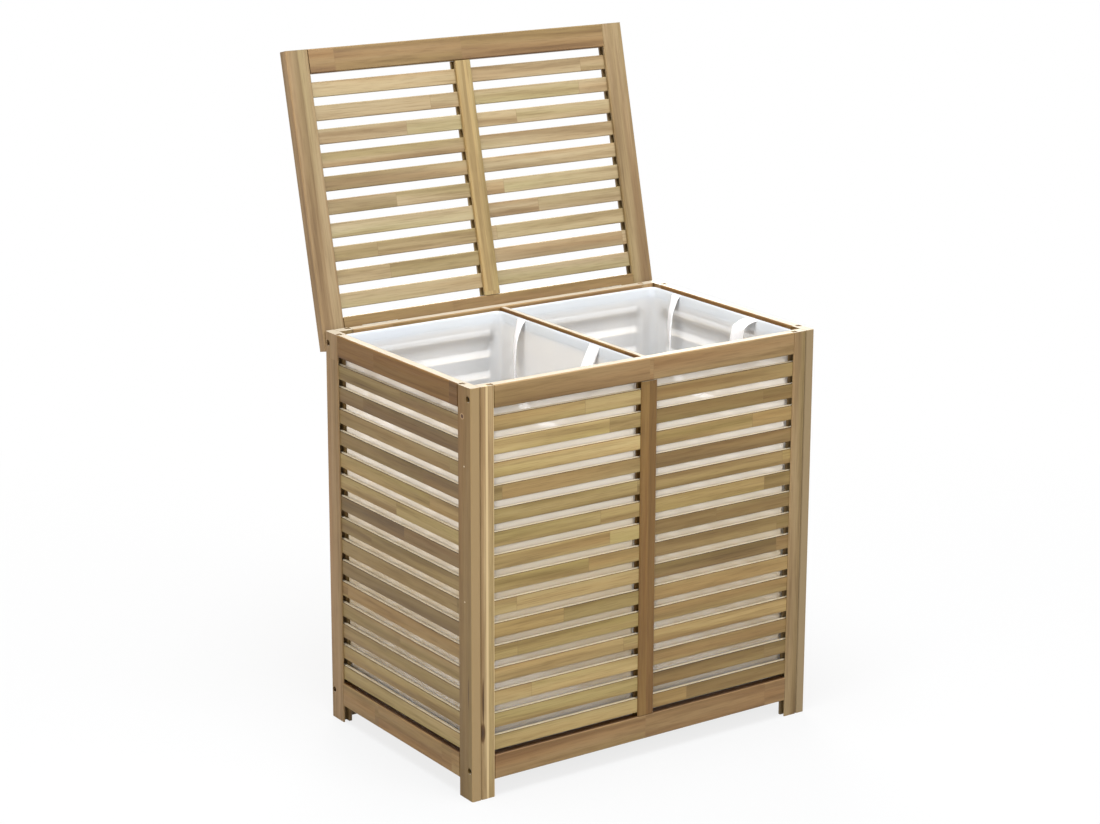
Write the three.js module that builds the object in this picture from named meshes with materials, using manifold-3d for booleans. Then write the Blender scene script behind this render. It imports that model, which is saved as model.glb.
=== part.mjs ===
// Laundry hamper with two bins: a slatted wooden chest on four feet, two fabric
// bags side by side on its base, and a slatted lid on two butt hinges.
// Millimetres, +Z up, +X to the right and +Y to the back of the hamper.
// The origin is on the floor, below the middle of the hamper with its lid open.
import * as THREE from 'three';
import { mergeVertices } from 'three/addons/utils/BufferGeometryUtils.js';
import Module from 'manifold-3d';

const wasm = await Module();
wasm.setup();

// Body
const bodyWidth = 600;
const bodyDepth = 390;
const bodyHeight = 600;
const bodyThickness = 15;
const footHeight = 26;
const topRailHeight = 33;
const bottomRailHeight = 37;
const frontStileWidth = 23;
const sideStileWidth = 34;
const centreStileWidth = 28;

// Slats and the groove that holds their ends
const slatHeight = 22.2;
const slatThickness = 7;
const slatGap = 11;
const lowestGap = 3;
const slatRecess = 2;
const slatEase = 1;
const tenonLength = 8;
const glueDepth = 1;

// Lid, measured along its own length from the rear edge to the free edge
const lidLength = 440;
const lidThickness = 18;
const lidStileWidth = 37;
const lidFreeRail = 36;
const lidRearRail = 46;
const lidCentreStile = 27;
const lidSlatHeight = 22.4;
const lidSlatGap = 13.3;
const lidTilt = THREE.MathUtils.degToRad(13.3);
const lidOverhang = 28.5;
const lidGap = 0.5;

// Butt hinges between the back top rail and the lid's rear rail
const hingeLength = 60;
const hingeInset = 95;
const hingePinDrop = 3;
const knuckleRadius = 2.6;
const pinRadius = 1.5;
const leafWidth = 13;
const leafThickness = 1;
const screwHoleRadius = 1.7;
const screwHoleInset = 9;
const knuckleCount = 3;
const screwCount = 3;

// Corner bolts, which hold the side panels to the front and back panels
const boltHeadRadius = 4.2;
const boltHeadHeight = 3;
const boltHeadDepth = 3.5;
const boltShankRadius = 3;
const boltSocketRadius = 2.3;
const boltSocketDepth = 2;
const boltTipMargin = 1;
const socketSides = 6;

// Base, divider and bags
const baseThickness = 5;
const cleatWidth = 15;
const cleatHeight = 15;
const dividerWidth = 10;
const dividerHeight = 24;
const dividerDrop = 1;
const bagWall = 2;
const bagCorner = 16;
const bagRimDrop = 5;
const strapWidth = 24;
const strapThickness = 1.5;
const strapSpan = 190;
const strapDrop = 165;
const strapCorner = 34;
const strapSetback = 25;

// Finish and fits
const edgeEase = 1.5;
const fitGap = 0.3;
const overrun = 5;
const roundSides = 16;
const cornerSteps = 5;

const material = (color, roughness, metalness = 0) =>
  new THREE.MeshStandardMaterial({ color, roughness, metalness });
const finishes = {
  stile: material(0x9f8259, 0.6),
  rail: material(0x97794f, 0.6),
  slat: material(0xa89562, 0.62),
  sideSlat: material(0x8f7b54, 0.62),
  lid: material(0xb2935f, 0.58),
  lidSlat: material(0xb8a173, 0.6),
  plywood: material(0xc9b48a, 0.7),
  fabric: material(0xe8e9ec, 0.9),
  webbing: material(0xf4f4f6, 0.85),
  hinge: material(0xb9b7b0, 0.35, 1),
  bolt: material(0x4a4743, 0.4, 1),
};

// A closed three.js geometry as a solid that can be joined and cut
function solid(geometry) {
  const bare = geometry.clone();
  bare.deleteAttribute('normal');
  bare.deleteAttribute('uv');
  const merged = mergeVertices(bare);
  return new wasm.Manifold(new wasm.Mesh({
    numProp: 3,
    vertProperties: new Float32Array(merged.attributes.position.array),
    triVerts: new Uint32Array(merged.index.array),
  }));
}

// A solid as a named, flat shaded mesh
function piece(name, shape, finish) {
  const data = shape.getMesh();
  const indexed = new THREE.BufferGeometry();
  indexed.setAttribute('position', new THREE.BufferAttribute(data.vertProperties, 3));
  indexed.setIndex(new THREE.BufferAttribute(data.triVerts, 1));
  const geometry = indexed.toNonIndexed();
  geometry.computeVertexNormals();
  const mesh = new THREE.Mesh(geometry, finish);
  mesh.name = name;
  return mesh;
}

// An outline with straight eased corners, from two spans
function easedOutline([u0, u1], [v0, v1], ease) {
  const outline = new THREE.Shape();
  if (ease === 0) {
    outline.moveTo(u0, v0);
    outline.lineTo(u1, v0);
    outline.lineTo(u1, v1);
    outline.lineTo(u0, v1);
    return outline;
  }
  outline.moveTo(u0 + ease, v0);
  outline.lineTo(u1 - ease, v0);
  outline.lineTo(u1, v0 + ease);
  outline.lineTo(u1, v1 - ease);
  outline.lineTo(u1 - ease, v1);
  outline.lineTo(u0 + ease, v1);
  outline.lineTo(u0, v1 - ease);
  outline.lineTo(u0, v0 + ease);
  return outline;
}

// An outline with round corners, from two spans
function roundOutline([u0, u1], [v0, v1], radius) {
  const outline = new THREE.Shape();
  outline.moveTo(u0 + radius, v0);
  outline.lineTo(u1 - radius, v0);
  outline.absarc(u1 - radius, v0 + radius, radius, -Math.PI / 2, 0);
  outline.lineTo(u1, v1 - radius);
  outline.absarc(u1 - radius, v1 - radius, radius, 0, Math.PI / 2);
  outline.lineTo(u0 + radius, v1);
  outline.absarc(u0 + radius, v1 - radius, radius, Math.PI / 2, Math.PI);
  outline.lineTo(u0, v0 + radius);
  outline.absarc(u0 + radius, v0 + radius, radius, Math.PI, 1.5 * Math.PI);
  return outline;
}

const axisX = new THREE.Vector3(1, 0, 0);
const axisY = new THREE.Vector3(0, 1, 0);
const axisZ = new THREE.Vector3(0, 0, 1);
// For each long axis: the axes that an outline's two directions and its length run along
const sweepAxes = {
  x: [axisY, axisZ, axisX],
  y: [axisZ, axisX, axisY],
  z: [axisX, axisY, axisZ],
};

// An outline swept along an axis, from one place on that axis to another
function sweep(outline, along, [from, to]) {
  const geometry = new THREE.ExtrudeGeometry(outline, {
    depth: to - from,
    bevelEnabled: false,
    curveSegments: cornerSteps,
  });
  geometry.translate(0, 0, from);
  geometry.applyMatrix4(new THREE.Matrix4().makeBasis(...sweepAxes[along]));
  return solid(geometry);
}

// A sawn board between three spans, with the edges along its grain eased
function board(x, y, z, grain, ease = edgeEase) {
  const sections = { x: [y, z, x], y: [z, x, y], z: [x, y, z] };
  const [u, v, length] = sections[grain];
  return sweep(easedOutline(u, v, ease), grain, length);
}

// A square-edged block between three spans, used for tenons and cuts
const block = (x, y, z) => board(x, y, z, 'z', 0);

// A round bar or hole about an axis, centred on two places across that axis
function round(radius, along, [from, to], [u, v], sides = roundSides) {
  const geometry = new THREE.CylinderGeometry(radius, radius, to - from, sides);
  geometry.rotateX(Math.PI / 2);
  geometry.translate(u, v, (from + to) / 2);
  geometry.applyMatrix4(new THREE.Matrix4().makeBasis(...sweepAxes[along]));
  return solid(geometry);
}

const union = (shapes) => shapes.reduce((whole, shape) => whole.add(shape));
const span = (a, b) => [Math.min(a, b), Math.max(a, b)];

// The places of a panel's slats, as spans up the panel, evenly spaced down from its top rail
function slatsFromTop(low, high, height, gap) {
  const pitch = height + gap;
  const count = Math.floor((high - low - lowestGap) / pitch);
  return Array.from({ length: count }, (_, i) => {
    const top = high - gap - i * pitch;
    return [top - height, top];
  });
}

// The places of the lid's slats, with equal gaps at both rails
function slatsBetween(low, high, height, gap) {
  const count = Math.max(1, Math.round((high - low - gap) / (height + gap)));
  const free = (high - low - count * height) / (count + 1);
  return Array.from({ length: count }, (_, i) => {
    const foot = low + free + i * (height + free);
    return [foot, foot + height];
  });
}

// A frame with grooved stiles, two rails and slats. It stands on z = 0 about x = 0,
// with its shown face on y = 0 and its other face towards +Y.
// The slats belong to the piece that carries them: the centre stile where the panel
// has one, and one of the outer stiles where it hasn't.
function slattedPanel(panel) {
  const group = new THREE.Group();
  const half = panel.width / 2;
  const inner = half - panel.stileWidth;
  const faces = [0, panel.thickness];
  const tongue = [panel.recess, panel.recess + slatThickness];
  const groove = [panel.recess - fitGap, panel.recess + slatThickness + fitGap];
  const grooveDepth = tenonLength + fitGap;
  const lowRailTop = panel.feet + panel.bottomRail;
  const highRailFoot = panel.height - panel.topRail;
  const upright = [0, panel.height];
  const pastEnds = [-overrun, panel.height + overrun];

  const slat = (from, to, place) => board(span(from, to), tongue, place, 'x', slatEase);
  const slats = (from, to) => panel.slats.map((place) => slat(from, to, place));

  // Outer stiles
  for (const side of [-1, 1]) {
    const name = side < 0 ? panel.names.left : panel.names.right;
    let stile = board(span(side * inner, side * half), faces, upright, 'z');
    stile = stile.subtract(block(
      span(side * (inner - overrun), side * (inner + grooveDepth)), groove, pastEnds));
    for (const hole of panel.holes(side)) {
      stile = stile.subtract(hole);
    }
    if (panel.slatsOn === side) {
      const held = slats(side * (inner + grooveDepth + glueDepth), -side * (inner + tenonLength));
      stile = union([stile, ...held]);
    }
    group.add(piece(name, stile, panel.finish.stile));
  }

  // Rails, with stub tenons in the stiles' grooves
  const rails = [
    [panel.names.bottomRail, [panel.feet, lowRailTop]],
    [panel.names.topRail, [highRailFoot, panel.height]],
  ];
  for (const [name, height] of rails) {
    const rail = board([-inner + fitGap, inner - fitGap], faces, height, 'x');
    const tenons = block([-inner - tenonLength, inner + tenonLength], tongue,
      [height[0] + edgeEase, height[1] - edgeEase]);
    group.add(piece(name, rail.add(tenons), panel.finish.rail));
  }

  // Centre stile with the slats of both columns
  if (panel.centreStile > 0) {
    const halfCentre = panel.centreStile / 2;
    let comb = board([-halfCentre, halfCentre], faces,
      [lowRailTop + fitGap, highRailFoot - fitGap], 'z');
    for (const side of [-1, 1]) {
      comb = comb.subtract(block(
        span(side * (halfCentre - grooveDepth), side * (halfCentre + overrun)), groove, pastEnds));
    }
    for (const side of [-1, 1]) {
      const root = side * (halfCentre - grooveDepth - glueDepth);
      comb = union([comb, ...slats(root, side * (inner + tenonLength))]);
    }
    group.add(piece(panel.names.centre, comb, panel.finish.slat));
  }
  return group;
}

// Corner bolts run across the panel joints, at the middle of the rails
const boltHeights = [footHeight + bottomRailHeight / 2, bodyHeight - topRailHeight / 2];
const boltLine = bodyThickness / 2;
const panelJoint = bodyWidth / 2 - bodyThickness;
const boltTip = panelJoint - frontStileWidth + tenonLength + fitGap + boltTipMargin;
const boltHoleRadius = boltShankRadius + fitGap;

// Holes for the bolts in the outer edges of the front and back stiles
const edgeHoles = (side) => boltHeights.map((height) => round(
  boltHoleRadius, 'x', span(side * (boltTip - fitGap), side * (panelJoint + overrun)),
  [boltLine, height]));

// Counterbored holes for the bolts through the side stiles
const faceHoles = (side) => boltHeights.map((height) => {
  const place = [height, side * (bodyDepth / 2 - boltLine)];
  const shank = round(boltHoleRadius, 'y', [-overrun, bodyThickness + overrun], place);
  const head = round(boltHeadRadius + fitGap, 'y',
    [-overrun, boltHeadDepth + boltHeadHeight + fitGap], place);
  return shank.add(head);
});
const noHoles = () => [];

const bodySlats = slatsFromTop(
  footHeight + bottomRailHeight, bodyHeight - topRailHeight, slatHeight, slatGap);
const bodyPanel = {
  height: bodyHeight,
  thickness: bodyThickness,
  feet: footHeight,
  bottomRail: bottomRailHeight,
  topRail: topRailHeight,
  recess: slatRecess,
  slats: bodySlats,
};

// Front or back panel, which stands between the side panels
const widePanel = (name) => slattedPanel({
  ...bodyPanel,
  width: 2 * (panelJoint - fitGap),
  stileWidth: frontStileWidth - fitGap,
  centreStile: centreStileWidth,
  holes: edgeHoles,
  slatsOn: 0,
  finish: { stile: finishes.stile, rail: finishes.rail, slat: finishes.slat },
  names: {
    left: `${name}_left_stile`,
    right: `${name}_right_stile`,
    bottomRail: `${name}_bottom_rail`,
    topRail: `${name}_top_rail`,
    centre: `${name}_centre_stile_and_slats`,
  },
});

// Side panel over the full depth. Its slats are held by the back stile.
const sidePanel = (name, leftEnd, rightEnd) => slattedPanel({
  ...bodyPanel,
  width: bodyDepth,
  stileWidth: sideStileWidth,
  centreStile: 0,
  holes: faceHoles,
  slatsOn: leftEnd === 'back' ? -1 : 1,
  finish: { stile: finishes.sideSlat, rail: finishes.rail },
  names: {
    left: `${name}_${leftEnd}_stile`,
    right: `${name}_${rightEnd}_stile`,
    bottomRail: `${name}_bottom_rail`,
    topRail: `${name}_top_rail`,
  },
});

// A corner bolt: a round head with a hexagon socket, and its shank
function cornerBolt(name, side, back, height) {
  const head = bodyWidth / 2 - boltHeadDepth;
  const place = [back ? bodyDepth - boltLine : boltLine, height];
  const whole = union([
    round(boltHeadRadius, 'x', span(side * (head - boltHeadHeight), side * head), place),
    round(boltShankRadius, 'x', span(side * boltTip, side * (head - boltHeadHeight / 2)), place),
  ]);
  const socket = round(boltSocketRadius, 'x',
    span(side * (head - boltSocketDepth), side * (head + overrun)), place, socketSides);
  return piece(name, whole.subtract(socket), finishes.bolt);
}

// Hinge pin line. The lid's underside lies above it when the lid is closed, and
// behind it when the lid is open, with the lid's rear edge on the back panel.
const pinToLid = hingePinDrop + lidGap;
const pinSetback = lidOverhang * Math.sin(lidTilt) - pinToLid * Math.cos(lidTilt) + fitGap;
const pinPlace = new THREE.Vector3(0, bodyDepth + pinSetback, bodyHeight - hingePinDrop);
const knuckleLength = hingeLength / knuckleCount;

// One leaf of a hinge, hanging down from the pin line at x = 0, with the knuckles whose
// number is odd or even. The plate lies between two distances behind the pin line.
function hingeLeaf(name, plateFaces, parity) {
  const clearTop = -knuckleRadius - fitGap;
  const parts = [block([-hingeLength / 2, hingeLength / 2], plateFaces, [-leafWidth, clearTop])];
  for (let i = parity; i < knuckleCount; i += 2) {
    const from = -hingeLength / 2 + i * knuckleLength + (i > 0 ? fitGap : 0);
    const to = -hingeLength / 2 + (i + 1) * knuckleLength - (i < knuckleCount - 1 ? fitGap : 0);
    parts.push(round(knuckleRadius, 'x', [from, to], [0, 0]));
    parts.push(block([from, to], plateFaces, [clearTop - leafThickness, 0]));
  }
  let leaf = union(parts).subtract(round(
    pinRadius + fitGap, 'x', [-hingeLength / 2 - overrun, hingeLength / 2 + overrun], [0, 0]));
  const screwLine = (clearTop - leafWidth) / 2;
  for (let i = 0; i < screwCount; i += 1) {
    const along = (hingeLength - 2 * screwHoleInset) * (i / (screwCount - 1) - 0.5);
    leaf = leaf.subtract(round(screwHoleRadius, 'y', [-overrun, overrun], [screwLine, along]));
  }
  return piece(name, leaf, finishes.hinge);
}

// A fabric bag: a box with round upright corners, open at the top
function bag(name, side) {
  const near = dividerWidth / 2 + fitGap;
  const far = panelJoint - fitGap;
  const depth = [bodyThickness + fitGap, bodyDepth - bodyThickness - fitGap];
  const outer = sweep(roundOutline(span(side * near, side * far), depth, bagCorner), 'z',
    [bagFoot, bodyHeight - bagRimDrop]);
  const hollow = sweep(
    roundOutline(span(side * (near + bagWall), side * (far - bagWall)),
      [depth[0] + bagWall, depth[1] - bagWall], bagCorner - bagWall),
    'z', [bagFoot + bagWall, bodyHeight + overrun]);
  return piece(name, outer.subtract(hollow), finishes.fabric);
}

// A webbing handle: a strap sewn on at the rim by both ends, which hangs down flat
// against the inside of a bag's wall
function handle(name, wallFace, inward) {
  const middle = bodyDepth / 2 + strapSetback;
  const rim = bodyHeight - bagRimDrop - strapThickness;
  const halfSpan = (strapSpan + strapWidth) / 2;
  const depth = [middle - halfSpan, middle + halfSpan];
  const foot = rim - strapDrop;
  const sheet = span(wallFace + inward * fitGap, wallFace + inward * (fitGap + strapThickness));
  const outer = sweep(roundOutline(depth, [foot, rim + strapDrop], strapCorner), 'x', sheet);
  const window = sweep(
    roundOutline([depth[0] + strapWidth, depth[1] - strapWidth],
      [foot + strapWidth, rim + strapDrop - strapWidth], strapCorner - strapWidth),
    'x', [sheet[0] - overrun, sheet[1] + overrun]);
  const above = block([sheet[0] - overrun, sheet[1] + overrun],
    [depth[0] - overrun, depth[1] + overrun], [rim, rim + strapDrop + overrun]);
  return piece(name, outer.subtract(window).subtract(above), finishes.webbing);
}

// Cabinet, in a frame with its front face on y = 0
const cabinet = new THREE.Group();

const frontPanel = widePanel('front');
cabinet.add(frontPanel);

const backPanel = widePanel('back');
backPanel.rotation.z = Math.PI;
backPanel.position.y = bodyDepth;
cabinet.add(backPanel);

const leftPanel = sidePanel('left_side', 'back', 'front');
leftPanel.rotation.z = -Math.PI / 2;
leftPanel.position.set(-bodyWidth / 2, bodyDepth / 2, 0);
cabinet.add(leftPanel);

const rightPanel = sidePanel('right_side', 'front', 'back');
rightPanel.rotation.z = Math.PI / 2;
rightPanel.position.set(bodyWidth / 2, bodyDepth / 2, 0);
cabinet.add(rightPanel);

for (const [end, back] of [['front', false], ['back', true]]) {
  for (const [hand, side] of [['left', -1], ['right', 1]]) {
    for (const [level, height] of [['lower', boltHeights[0]], ['upper', boltHeights[1]]]) {
      cabinet.add(cornerBolt(`${end}_${hand}_${level}_bolt`, side, back, height));
    }
  }
}

// Base panel on two cleats
const cleatSpan = [-panelJoint + fitGap, panelJoint - fitGap];
const cleatLevels = [footHeight, footHeight + cleatHeight];
const frontCleat = [bodyThickness + fitGap, bodyThickness + fitGap + cleatWidth];
const backCleat = [bodyDepth - frontCleat[1], bodyDepth - frontCleat[0]];
cabinet.add(piece('front_cleat', board(cleatSpan, frontCleat, cleatLevels, 'x'), finishes.rail));
cabinet.add(piece('back_cleat', board(cleatSpan, backCleat, cleatLevels, 'x'), finishes.rail));
const baseFoot = footHeight + cleatHeight + fitGap;
const bagFoot = baseFoot + baseThickness + fitGap;
cabinet.add(piece('base_panel',
  block(cleatSpan, [frontCleat[0], backCleat[1]], [baseFoot, baseFoot + baseThickness]),
  finishes.plywood));

// Divider rail between the bags, from the front top rail to the back top rail
const dividerTop = bodyHeight - dividerDrop;
cabinet.add(piece('divider_rail', board(
  [-dividerWidth / 2, dividerWidth / 2],
  [bodyThickness + fitGap, bodyDepth - bodyThickness - fitGap],
  [dividerTop - dividerHeight, dividerTop], 'y'), finishes.rail));

for (const [hand, side] of [['left', -1], ['right', 1]]) {
  cabinet.add(bag(`${hand}_bag`, side));
  const nearWall = side * (dividerWidth / 2 + fitGap + bagWall);
  const farWall = side * (panelJoint - fitGap - bagWall);
  cabinet.add(handle(`${hand}_bag_inner_handle`, nearWall, side));
  cabinet.add(handle(`${hand}_bag_outer_handle`, farWall, -side));
}

// Lid, in a group that turns about the hinge pins
const lid = new THREE.Group();
const lidPanel = slattedPanel({
  width: bodyWidth,
  height: lidLength,
  thickness: lidThickness,
  feet: 0,
  bottomRail: lidRearRail,
  topRail: lidFreeRail,
  stileWidth: lidStileWidth,
  centreStile: lidCentreStile,
  recess: (lidThickness - slatThickness) / 2,
  slats: slatsBetween(lidRearRail, lidLength - lidFreeRail, lidSlatHeight, lidSlatGap),
  holes: noHoles,
  slatsOn: 0,
  finish: { stile: finishes.lid, rail: finishes.lid, slat: finishes.lidSlat },
  names: {
    left: 'lid_left_stile',
    right: 'lid_right_stile',
    bottomRail: 'lid_rear_rail',
    topRail: 'lid_free_rail',
    centre: 'lid_centre_stile_and_slats',
  },
});
lidPanel.position.set(0, pinToLid, -lidOverhang);
lid.add(lidPanel);
lid.position.copy(pinPlace);
lid.rotation.x = -lidTilt;
cabinet.add(lid);

// Hinges: the body leaf and the pin stay with the cabinet, the other leaf turns with the lid
for (const [hand, side] of [['left', -1], ['right', 1]]) {
  const along = side * (bodyWidth / 2 - hingeInset);
  const bodyLeafFace = -pinSetback + fitGap;
  const bodyLeaf = hingeLeaf(
    `${hand}_hinge_body_leaf`, [bodyLeafFace, bodyLeafFace + leafThickness], 0);
  bodyLeaf.position.set(along, pinPlace.y, pinPlace.z);
  cabinet.add(bodyLeaf);

  const pin = piece(`${hand}_hinge_pin`,
    round(pinRadius, 'x', [-hingeLength / 2, hingeLength / 2], [0, 0]), finishes.hinge);
  pin.position.copy(bodyLeaf.position);
  cabinet.add(pin);

  const lidLeafFace = pinToLid - fitGap;
  const lidLeaf = hingeLeaf(
    `${hand}_hinge_lid_leaf`, [lidLeafFace - leafThickness, lidLeafFace], 1);
  lidLeaf.position.x = along;
  lid.add(lidLeaf);
}

// The open lid's outer top edge is the rearmost point, so the hamper's middle follows from it
const lidReach = lidLength - lidOverhang;
const rearmost = pinPlace.y + lidReach * Math.sin(lidTilt)
  + (pinToLid + lidThickness) * Math.cos(lidTilt);
cabinet.position.y = -rearmost / 2;

const hamper = new THREE.Group();
hamper.add(cabinet);
export default hamper;
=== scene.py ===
# A slatted laundry hamper of oiled hardwood with two fabric bags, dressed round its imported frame
import math

import bmesh
import bpy
from mathutils import Matrix, Vector, noise


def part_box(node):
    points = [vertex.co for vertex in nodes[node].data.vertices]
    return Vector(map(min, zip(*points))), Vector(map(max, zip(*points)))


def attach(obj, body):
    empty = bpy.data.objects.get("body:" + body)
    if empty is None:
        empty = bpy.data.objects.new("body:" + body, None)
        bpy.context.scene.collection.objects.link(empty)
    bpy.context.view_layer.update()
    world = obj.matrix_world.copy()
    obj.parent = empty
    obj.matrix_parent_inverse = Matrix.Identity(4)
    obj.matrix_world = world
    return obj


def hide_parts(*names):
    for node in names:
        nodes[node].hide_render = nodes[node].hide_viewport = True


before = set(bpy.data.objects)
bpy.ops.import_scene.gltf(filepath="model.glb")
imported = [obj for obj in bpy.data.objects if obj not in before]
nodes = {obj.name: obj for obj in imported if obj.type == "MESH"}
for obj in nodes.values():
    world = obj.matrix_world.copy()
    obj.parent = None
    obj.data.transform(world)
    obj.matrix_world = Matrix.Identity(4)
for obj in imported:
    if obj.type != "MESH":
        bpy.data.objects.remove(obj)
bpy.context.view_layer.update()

MM = 0.001

# Camera, at the photograph's angle and distance
EYE = (-2.1818, -3.1764, 1.5458)
EYE_RIGHT = (0.8167, -0.5771, 0.0063)
EYE_UP = (0.1430, 0.2129, 0.9666)
EYE_BACK = (-0.5591, -0.7885, 0.2564)
LENS = 87.72
SHIFT = (-0.033, -0.0364)

camera = bpy.data.objects.new("camera", bpy.data.cameras.new("camera"))
bpy.context.scene.collection.objects.link(camera)
# The turn to a quaternion and back squares up the rounded axes
axes = Matrix((EYE_RIGHT, EYE_UP, EYE_BACK)).transposed()
camera.matrix_world = Matrix.Translation(EYE) @ axes.to_quaternion().to_matrix().to_4x4()
camera.data.sensor_width = 36
camera.data.lens = LENS
camera.data.shift_x, camera.data.shift_y = SHIFT
camera.data.clip_end = 60
bpy.context.scene.camera = camera


def colour(code):
    """An sRGB hex value as linear colour."""
    parts = [int(code[i:i + 2], 16) / 255 for i in (1, 3, 5)]
    return [c / 12.92 if c <= 0.04045 else ((c + 0.055) / 1.055) ** 2.4 for c in parts] + [1.0]


def add(tree, kind, *feeds, sockets=None, stops=None, **settings):
    """Adds a node with its settings. Feeds are set on or linked to its sockets in order,
    sockets are the same by name, and stops are a colour ramp's places and hex colours."""
    node = tree.nodes.new("ShaderNode" + kind)
    for setting, value in settings.items():
        setattr(node, setting, value)
    for socket, feed in [*enumerate(feeds), *(sockets or {}).items()]:
        if isinstance(feed, bpy.types.NodeSocket):
            tree.links.new(feed, node.inputs[socket])
        elif feed is not None:
            node.inputs[socket].default_value = feed
    if stops:
        elements = node.color_ramp.elements
        while len(elements) < len(stops):
            elements.new(1.0)
        for element, (place, code) in zip(elements, stops):
            element.position = place
            element.color = colour(code)
    return node


def new_material(name):
    """A material without nodes, and its tree."""
    material = bpy.data.materials.new(name)
    material.use_nodes = True
    material.node_tree.nodes.clear()
    return material, material.node_tree


# The lid leans back by this angle about the line of its hinge pins
LID_LEAN = math.radians(13.3)
pin_low, pin_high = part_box("left_hinge_pin")
pin_line = (pin_low + pin_high) / 2
lid_turn = Matrix.Rotation(LID_LEAN, 3, "X")
lid_shift = -(lid_turn @ Vector((0, pin_line.y, pin_line.z)))

# How often the grain's pattern repeats in a metre along a board and across it, for each way
# that a board can lie
ALONG, ACROSS = 5.0, 130.0
STRETCH = {
    "x": (ALONG, ACROSS, ACROSS),
    "y": (ACROSS, ALONG, ACROSS),
    "z": (ACROSS, ACROSS, ALONG),
}
# Finger joints: the fingers lie so that the broad face shows a straight joint
FINGERS_ALONG = {"x": "Y", "y": "X"}
FINGER_WIDTH, FINGER_LENGTH = 4 * MM, 8.8 * MM
# The line of glue in a joint: its width, tone and strength
JOINT_WIDTH = 0.7 * MM
JOINT_GLUE = "#6B5232"
JOINT_SHARE = 0.5
# How far a block's own tone shows over its board's
BLOCK_SHARE = 0.35
# Spread of the places where boards start their blocks, in blocks, and where blocks start the
# grain's pattern, in its repeats
BLOCK_SPREAD = 7.0
PATTERN_SPREAD = (9, 9, 9)

# The grain, from its slow drifts of hue to its pores: the scale and further settings of its
# noise, how strongly it shows, and the tints of its light and dark parts
GRAIN = {
    "drift": ({"Scale": 0.3, "Detail": 1.0, "Roughness": 0.5},
              0.7, [(0.32, "#E9EDD4"), (0.5, "#FFFFFF"), (0.7, "#FFEFE0")]),
    "broad": ({"Scale": 0.5, "Detail": 1.0, "Roughness": 0.5, "Distortion": 0.3},
              0.75, [(0.3, "#C3B299"), (0.5, "#F4EFE7"), (0.68, "#FFFFFF")]),
    "streak": ({"Scale": 1.2, "Detail": 3.0, "Roughness": 0.55, "Distortion": 0.3},
               0.45, [(0.3, "#B9A88F"), (0.47, "#F4F0EA"), (0.62, "#FFFFFF")]),
    "pores": ({"Scale": 5.5, "Detail": 2.0, "Roughness": 0.5},
              0.35, [(0.33, "#BDAE99"), (0.5, "#FFFFFF")]),
}
# Strips in a glued stile: how far their seams wander, their tints and how strongly these show
SEAM_WANDER = 1.5 * MM
STRIP_TINTS = [(0.0, "#DCD1C0"), (0.5, "#F5EFE4"), (1.0, "#FFFFFF")]
STRIP_SHARE = 0.8
# Faces count as looking up, and as the eased edges round those, by the rise of their normals. The
# former get painted light, a paler tone that covers this share of the wood's own; the latter get
# painted shade
TOP_RISE = 0.9
ARRIS_RISE, ARRIS_SPREAD = 0.65, 0.25
TOP_SHARE = 0.9
# Marks and painted shade fade out over the last part of their size
FADE = [(0.7, "#FFFFFF"), (1.0, "#000000")]


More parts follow.
